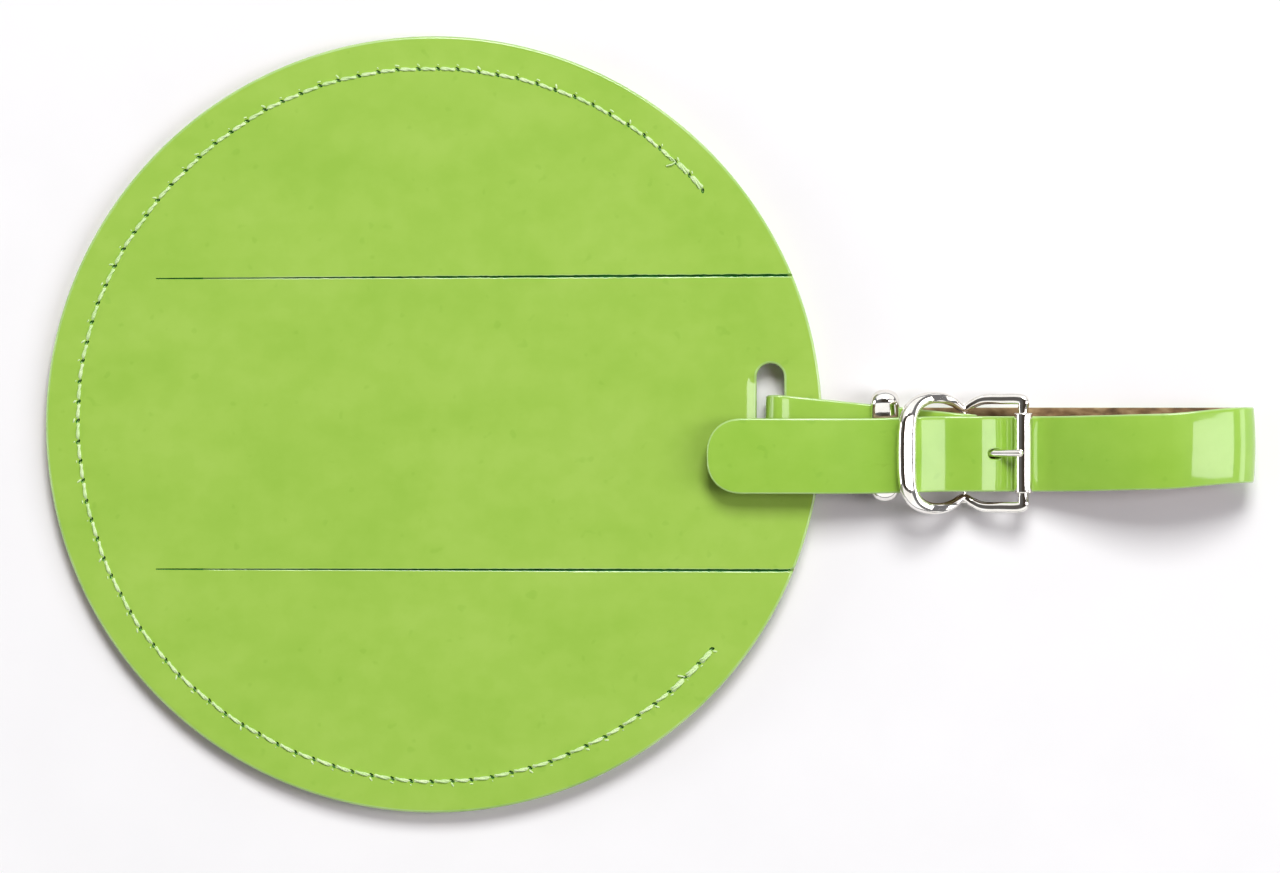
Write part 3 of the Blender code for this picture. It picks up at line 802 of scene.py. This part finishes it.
class Route:
    """A line of points read by the length along it."""

    def __init__(self, points):
        lengths = np.linalg.norm(np.diff(points[:, [0, 2]], axis=0), axis=1)
        along = np.concatenate([[0], np.cumsum(lengths)])
        self.length = along[-1]
        self.along = np.arange(0, self.length, 0.1)
        raw = np.array([np.interp(self.along, along, points[:, i]) for i in range(3)]).T
        self.points = self.blurred(raw, 5)
        self.points[:, 1] = self.blurred(raw[:, [1]], 25)[:, 0]
        slope = np.gradient(self.points[:, [0, 2]], axis=0)
        self.tangents = slope / np.linalg.norm(slope, axis=1)[:, None]

    @staticmethod
    def blurred(values, reach):
        kernel = np.hanning(2 * reach + 3)[1:-1]
        kernel /= kernel.sum()
        padded = np.pad(values, ((reach, reach), (0, 0)), mode="reflect", reflect_type="odd")
        return np.array([np.convolve(column, kernel, "valid") for column in padded.T]).T

    def place(self, along, across, out):
        """The point at a length along the strap, an offset across it and a height out of its green face."""
        x, y, z, tx, tz = (np.interp(along, self.along, column)
                           for column in (*self.points.T, *self.tangents.T))
        return Vector((x + out * tz, y + across, z - out * tx))

    def where(self, x, leg):
        """The length along at which a leg of the strap passes x. A leg ends where the strap turns back."""
        change = np.sign(np.diff(self.points[:, 0]))
        turns = [0, *[i + 1 for i in range(len(change) - 1) if change[i] != change[i + 1]], len(change)]
        first, last = turns[leg + 1], turns[leg + 2]
        stretch = slice(first, last + 1)
        xs, lengths = self.points[stretch, 0], self.along[stretch]
        order = np.argsort(xs)
        return float(np.interp(x, xs[order], lengths[order]))


ROUTE = Route(strap_route())


def tip_loop(end):
    """The strap's flat outline, square at its hidden end and blunt and round at its tip."""
    length, power = 4.9, 2.35
    side = []
    for turn in spaced(0, math.pi / 2, 24):
        share = math.sin(turn)
        side.append((end - length * (1 - share), HALF_WIDTH * (1 - share**power) ** (1 / power)))
    return [(0, -HALF_WIDTH), *[(s, -w) for s, w in side], *[(s, w) for s, w in reversed(side[:-1])],
            (0, HALF_WIDTH)]


def obround(start, end, width):
    """The outline of a hole with round ends, along the strap."""
    radius = width / 2
    return arc((end - radius, 0), radius, -90, 90, 12) + arc((start + radius, 0), radius, 90, 270, 12)


def strap_cuts():
    """Where the flat strap is sliced so that it can bend: finely in the folds, coarsely elsewhere."""
    step = ROUTE.along[1] - ROUTE.along[0]
    turning = np.linalg.norm(np.gradient(ROUTE.tangents, axis=0), axis=1) / step
    cuts, due = [], 0.0
    for along, rate in zip(ROUTE.along, turning):
        due += step * (0.7 + 9.0 * rate)
        if due >= 1.0:
            cuts.append(float(along))
            due = 0.0
    return cuts


def flat_strap():
    """The strap laid out flat and green side up, with the slot for the prong's eye and the prong's hole."""
    wrap_middle = ROUTE.where(70.5, FIXED_LEG) - 1.2
    hole = ROUTE.where(HOLE_X, FRONT_LEG)
    loops = [tip_loop(ROUTE.length), obround(wrap_middle - 3.6, wrap_middle + 3.2, 1.5),
             obround(hole - 0.9, hole + 0.9, 1.3)]
    shape = plate(loops, -STRAP / 2, STRAP / 2, 0.22)
    slice_at(shape, 0, strap_cuts())
    slice_at(shape, 1, [w * HALF_WIDTH for w in (-0.9, -0.75, -0.5, -0.25, 0, 0.25, 0.5, 0.75, 0.9)])
    paint_leather(shape, STRAP / 2)
    for face in shape.faces:
        centre = face.calc_center_median()
        in_hole = abs(centre.x - hole) < 1.2 and abs(centre.y) < 0.8
        is_wall = abs(face.normal.z) < 0.9
        if in_hole and is_wall:
            face.material_index = FILM
    return shape


def bend_along_route(shape):
    """Puts a flat stretch on the route, with its green face a little crowned, most of all on the loop."""
    for vertex in shape.verts:
        along, across, out = vertex.co
        crown = CROWN * (0.55 + 0.45 * ease(ROUTE.place(along, 0, 0).x, 80.0, 88.0))
        rise = crown * (0.5 + out / STRAP) * (0.4 - (across / HALF_WIDTH) ** 2)
        vertex.co = ROUTE.place(along, across, out + rise)


def strap_leather():
    """One flat strap, cut into the stretches that move apart, and bent along its route."""
    whole = flat_strap()
    upper_cut, lower_cut = ROUTE.where(KEEPER_X, FIXED_LEG), ROUTE.where(62.0, REAR_LEG)
    tail_cut = ROUTE.where(62.1, FRONT_LEG)
    slice_at(whole, 0, [upper_cut, lower_cut, tail_cut])
    stretches = (
        ("strap_fixed_leather", 0, upper_cut, ["strap_fixed_end"]),
        ("strap_slot_leather", upper_cut, lower_cut, ["strap_slot_fold"]),
        ("strap_loop_leather", lower_cut, tail_cut,
         ["strap_rear_leg", "strap_end_fold", "strap_front_leg", "strap_buckle_run"]),
        ("strap_tail_leather", tail_cut, ROUTE.length + 1, ["strap_tail"]),
    )
    for name, start, end, nodes in stretches:
        shape = whole.copy()
        away = [f for f in shape.faces if not start < f.calc_center_median().x < end]
        bmesh.ops.delete(shape, geom=away, context="FACES")
        bend_along_route(shape)
        body = "strap" if name in ("strap_fixed_leather", "strap_loop_leather") else None
        made = piece(name, shape, STRAP_PLACE, STRAP_LEATHERS, body)
        even_normals(made)
        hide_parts(*nodes)
        if name == "strap_slot_leather":
            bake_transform(made)
        if name == "strap_tail_leather":
            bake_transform(made)
    whole.free()


# ---------------------------------------------------------------- the metal

def keeper():
    """A half-round band, closed round both layers of the strap's fixed end."""
    low, high = RETURN_Z - STRAP / 2 - 0.08, FIXED_Z + STRAP / 2 + 0.12
    inner, corner = 5.6, 0.7
    corners = []
    for start, y, z in ((0, inner - corner, high - corner), (90, corner - inner, high - corner),
                        (180, corner - inner, low + corner), (270, inner - corner, low + corner)):
        outward = [Vector((0, math.cos(turn), math.sin(turn)))
                   for turn in (math.radians(angle) for angle in spaced(start, start + 90, 8))]
        middle = Vector((KEEPER_X, KEEPER_Y + y, z))
        corners.append([(middle + up * corner, up) for up in outward])
    path = []
    for this, following in zip(corners, [*corners[1:], corners[0]]):
        last, up = this[-1]
        straight = [(last.lerp(following[0][0], j / 6), up) for j in range(1, 6)]
        path += this + straight
    half, foot = 1.9, 1.66
    sections = []
    for _, (_, sideways, upward) in path:
        thick = 1.62 * abs(sideways) + (1.05 if upward > 0 else 0.7) * abs(upward)
        bow = [(half * math.cos(a), thick * math.sin(a) ** 0.8) for a in spaced(0, math.pi, 14)]
        sections.append([(foot, 0.0), *[(u, max(v, 0.02)) for u, v in bow], (-foot, 0.0)])
    centres, ups = zip(*path)
    made = piece("keeper_metal", sweep(centres, sections, ups, closed=True), STRAP_PLACE, [NICKEL],
                 "strap", 50)
    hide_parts("keeper_band")


def frame_route():
    """The buckle frame's middle line with its half-width across and half-height, relative to BUCKLE_Y."""
    top = [
        (61.95, 2.8, 8.25, 1.24, 0.88), (62.25, 4.9, 8.12, 1.12, 0.84), (63.25, 6.45, 7.25, 0.96, 0.82),
        (64.9, 7.2, 5.9, 0.80, 0.76), (66.7, 7.2, 4.8, 0.72, 0.72), (68.2, 6.65, 3.7, 0.62, 0.70),
        (69.5, 5.85, 3.05, 0.54, 0.72), (70.7, 6.45, 3.15, 0.60, 0.70), (72.2, 7.05, 3.6, 0.68, 0.68),
        (74.6, 7.1, 4.4, 0.70, 0.68), (76.6, 7.1, 5.05, 0.72, 0.68), (ROLLER_X, 6.8, 5.25, 0.76, 0.68),
        (ROLLER_X, 6.1, ROLLER_Z, 0.70, 0.66), (ROLLER_X, 5.3, ROLLER_Z, 0.62, 0.62),
        (ROLLER_X, 4.0, ROLLER_Z, 0.62, 0.62),
    ]
    bottom = [(x, -y, z, u, v) for x, y, z, u, v in reversed(top)]
    left = (61.9, 0, 8.25, 1.28, 0.88)
    return smooth([left, *top, *bottom, left], 6)[:-1]


def buckle():
    route = frame_route()
    centres = [(x, y + BUCKLE_Y, z) for x, y, z, _, _ in route]
    sections = [soft_box(u, v) for _, _, _, u, v in route]
    left_tilt, right_tilt = math.radians(25), math.radians(12)
    ups = []
    for x, _, _, _, _ in route:
        tilt = left_tilt * ease(-x, -BAR_X, -63.0) - right_tilt * ease(x, BAR_X, 76.0)
        ups.append((math.sin(tilt), 0, math.cos(tilt)))
    made = piece("buckle_frame_metal", sweep(centres, sections, ups, closed=True), STRAP_PLACE, [NICKEL],
                 "buckle", 60)
    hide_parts("buckle_frame")


def turned(profile, centre, steps=40):
    """A shape turned about a line along Y through centre, from (radius, place along) pairs. Its ends are
    filled, unless the profile comes back to its start, as a sleeve's does."""
    shape = bmesh.new()
    rings = []
    for radius, y in profile:
        around = ring(radius, radius, steps)
        rings.append([shape.verts.new((centre[0] + dx, centre[1] + y, centre[2] + dz)) for dx, dz in around])
    bridge(shape, rings)
    if profile[0] == profile[-1]:
        bmesh.ops.remove_doubles(shape, verts=shape.verts, dist=1e-6)
    else:
        close_ends(shape, rings)
    bmesh.ops.recalc_face_normals(shape, faces=shape.faces)
    return shape


def centre_bar():
    """The pin through the frame's waist, with its two small riveted ends."""
    half = 5.1
    end = [(0.12, 6.58), (0.30, 6.52), (0.34, 6.42), (0.28, 6.2)]
    profile = [*end, (0.28, half), (0.62, half), (BAR_RADIUS, half - 0.1)]
    profile += [(r, -y) for r, y in reversed(profile)]
    pin = turned(profile, (BAR_X, BUCKLE_Y, BAR_Z))
    made = piece("centre_bar_metal", pin, STRAP_PLACE, [NICKEL], "buckle")
    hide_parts("centre_bar")


def roller():
    """A sleeve rolled from sheet, with its open seam underneath."""
    half, bore, edge, seam_gap = 5.25, 0.78, 0.16, 0.09
    lip = [(ROLLER_RADIUS - edge + edge * math.sin(a), half - edge + edge * math.cos(a))
           for a in spaced(0, math.pi / 2, 5)]
    profile = [(bore, half), *lip, *[(r, -y) for r, y in reversed(lip)], (bore, -half), (bore, half)]
    sleeve = turned(profile, (ROLLER_X, BUCKLE_Y, ROLLER_Z))
    underneath = Matrix.Translation((ROLLER_X, BUCKLE_Y, ROLLER_Z - 1))
    seam_cut = bmesh.new()
    bmesh.ops.create_cube(seam_cut, size=1, matrix=underneath @ Matrix.Diagonal((seam_gap, 12, 1.4, 1)))
    made = piece("roller_metal", cut(sleeve, seam_cut), STRAP_PLACE, [NICKEL], "roller_body")
    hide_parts("roller")


def prong():
    """A wire eye round the pin and a shank that lies on the roller, with a blunt round tip."""
    reach_x, reach_z = ROLLER_X - BAR_X, ROLLER_Z - BAR_Z
    rest = ROLLER_RADIUS + 0.03 + 0.5
    slope = math.atan2(reach_z, reach_x) + math.asin(rest / math.hypot(reach_x, reach_z))
    along = Vector((math.cos(slope), 0, math.sin(slope)))
    bar = Vector((BAR_X, BUCKLE_Y, BAR_Z))
    shares = [(0.9, 0.38), (1.6, 0.5), (2.4, 0.5), (5.0, 0.5), (7.6, 0.49), (8.1, 0.46), (8.38, 0.38),
              (8.54, 0.24), (8.6, 0.08)]
    centres = [bar + along * length for length, _ in shares]
    shank = sweep(centres, [ring(r, r, 20) for _, r in shares], [(0, 1, 0)] * len(shares))
    centres = [bar + Vector((dx, 0, dz)) for dx, dz in ring(1.18, 1.18, 36)]
    eye = sweep(centres, [ring(0.4, 0.4, 16)] * 36, [(0, 1, 0)] * 36, closed=True)
    made = piece("prong_metal", join([shank, eye]), STRAP_PLACE, [NICKEL], "prong_body")
    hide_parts("prong")


# ---------------------------------------------------------------- the stage

def softbox(name, azimuth, zenith, half_angles, radiance, distance=1.1, only=None):
    """A rectangular light at a direction in degrees from the strap. half_angles are its reach sideways
    and up. With a collection as only, it lights nothing but what is in it."""
    target = (0.075, -0.002, 0.005)
    azimuth, zenith = math.radians(azimuth), math.radians(zenith)
    way = Vector((math.sin(zenith) * math.cos(azimuth), math.sin(zenith) * math.sin(azimuth),
                  math.cos(zenith)))
    lamp = bpy.data.lights.new(name, "AREA")
    lamp.shape = "RECTANGLE"
    lamp.size, lamp.size_y = (2 * distance * math.tan(math.radians(a)) for a in half_angles)
    lamp.energy = radiance * math.pi * lamp.size * lamp.size_y
    made = bpy.data.objects.new(name, lamp)
    made.location = Vector(target) + way * distance
    made.rotation_euler = (-way).to_track_quat("-Z", "Y").to_euler()
    bpy.context.scene.collection.objects.link(made)
    if only:
        made.light_linking.receiver_collection = only
    return made


def dim_room():
    world = bpy.data.worlds.new("studio")
    bpy.context.scene.world = world
    world.use_nodes = True
    nodes = Nodes(world.node_tree)
    way = nodes.add("ShaderNodeTexCoord").outputs["Generated"]
    height = nodes.add("ShaderNodeSeparateXYZ", {0: way}).outputs["Z"]
    dome = nodes.ramp(height, (0.0, (0.22, 0.22, 0.23)), (0.5, (0.18, 0.18, 0.187)),
                      (0.9, (0.11, 0.105, 0.10)), (0.97, (0.055, 0.045, 0.035)))
    world.node_tree.links.new(dome, world.node_tree.nodes["Background"].inputs["Color"])


def lights():
    """A key behind, a window on the right, low lights at both ends, and two cards for the metal only."""
    softbox("key", 83, 35, (11.0, 11.5), 15.6, 1.7)
    window = softbox("right_window", 0, 39.5, (8.8, 21.5), 5.0, 1.5)
    window.data.color = (1.0, 0.95, 1.02)
    softbox("right_low", 0, 81, (14.0, 7.0), 3.5)
    softbox("left_low", 180, 77, (13.0, 10.0), 4.0)
    metal = bpy.data.collections.new("metal")
    for made in [obj for obj in bpy.data.objects if obj.name.endswith("_metal")]:
        metal.objects.link(made)
    for name, azimuth in (("card_behind", 90), ("card_in_front", -90)):
        softbox(name, azimuth, 51, (55.0, 29.0), 1.0, 0.5, metal)


def ground():
    bpy.ops.mesh.primitive_plane_add(size=3, location=(0.027, 0, FLOOR * MM))
    floor = bpy.context.object
    floor.name = "floor"
    floor.data.materials.append(floor_white("white_floor"))


def camera():
    data = bpy.data.cameras.new("camera")
    data.sensor_width = 36.0
    data.lens = data.sensor_width * VIEW_DISTANCE / (VIEW_WIDTH * MM)
    made = bpy.data.objects.new("camera", data)
    made.location = (VIEW_MIDDLE[0] * MM, VIEW_MIDDLE[1] * MM, VIEW_DISTANCE)
    bpy.context.scene.collection.objects.link(made)
    bpy.context.scene.camera = made


front_leather()
back_leather()
seam("front_stitches", TAG_THICK, 1, "front_seam_thread")
seam("back_stitches", 0.0, -1, "back_seam_thread")
frame["nodes"]["address_card"].data.materials.clear()
frame["nodes"]["address_card"].data.materials.append(PAPER)
strap_leather()
keeper()
buckle()
centre_bar()
roller()
prong()
camera()
dim_room()
lights()
ground()

bpy.context.scene.view_settings.view_transform = "Standard"

import json
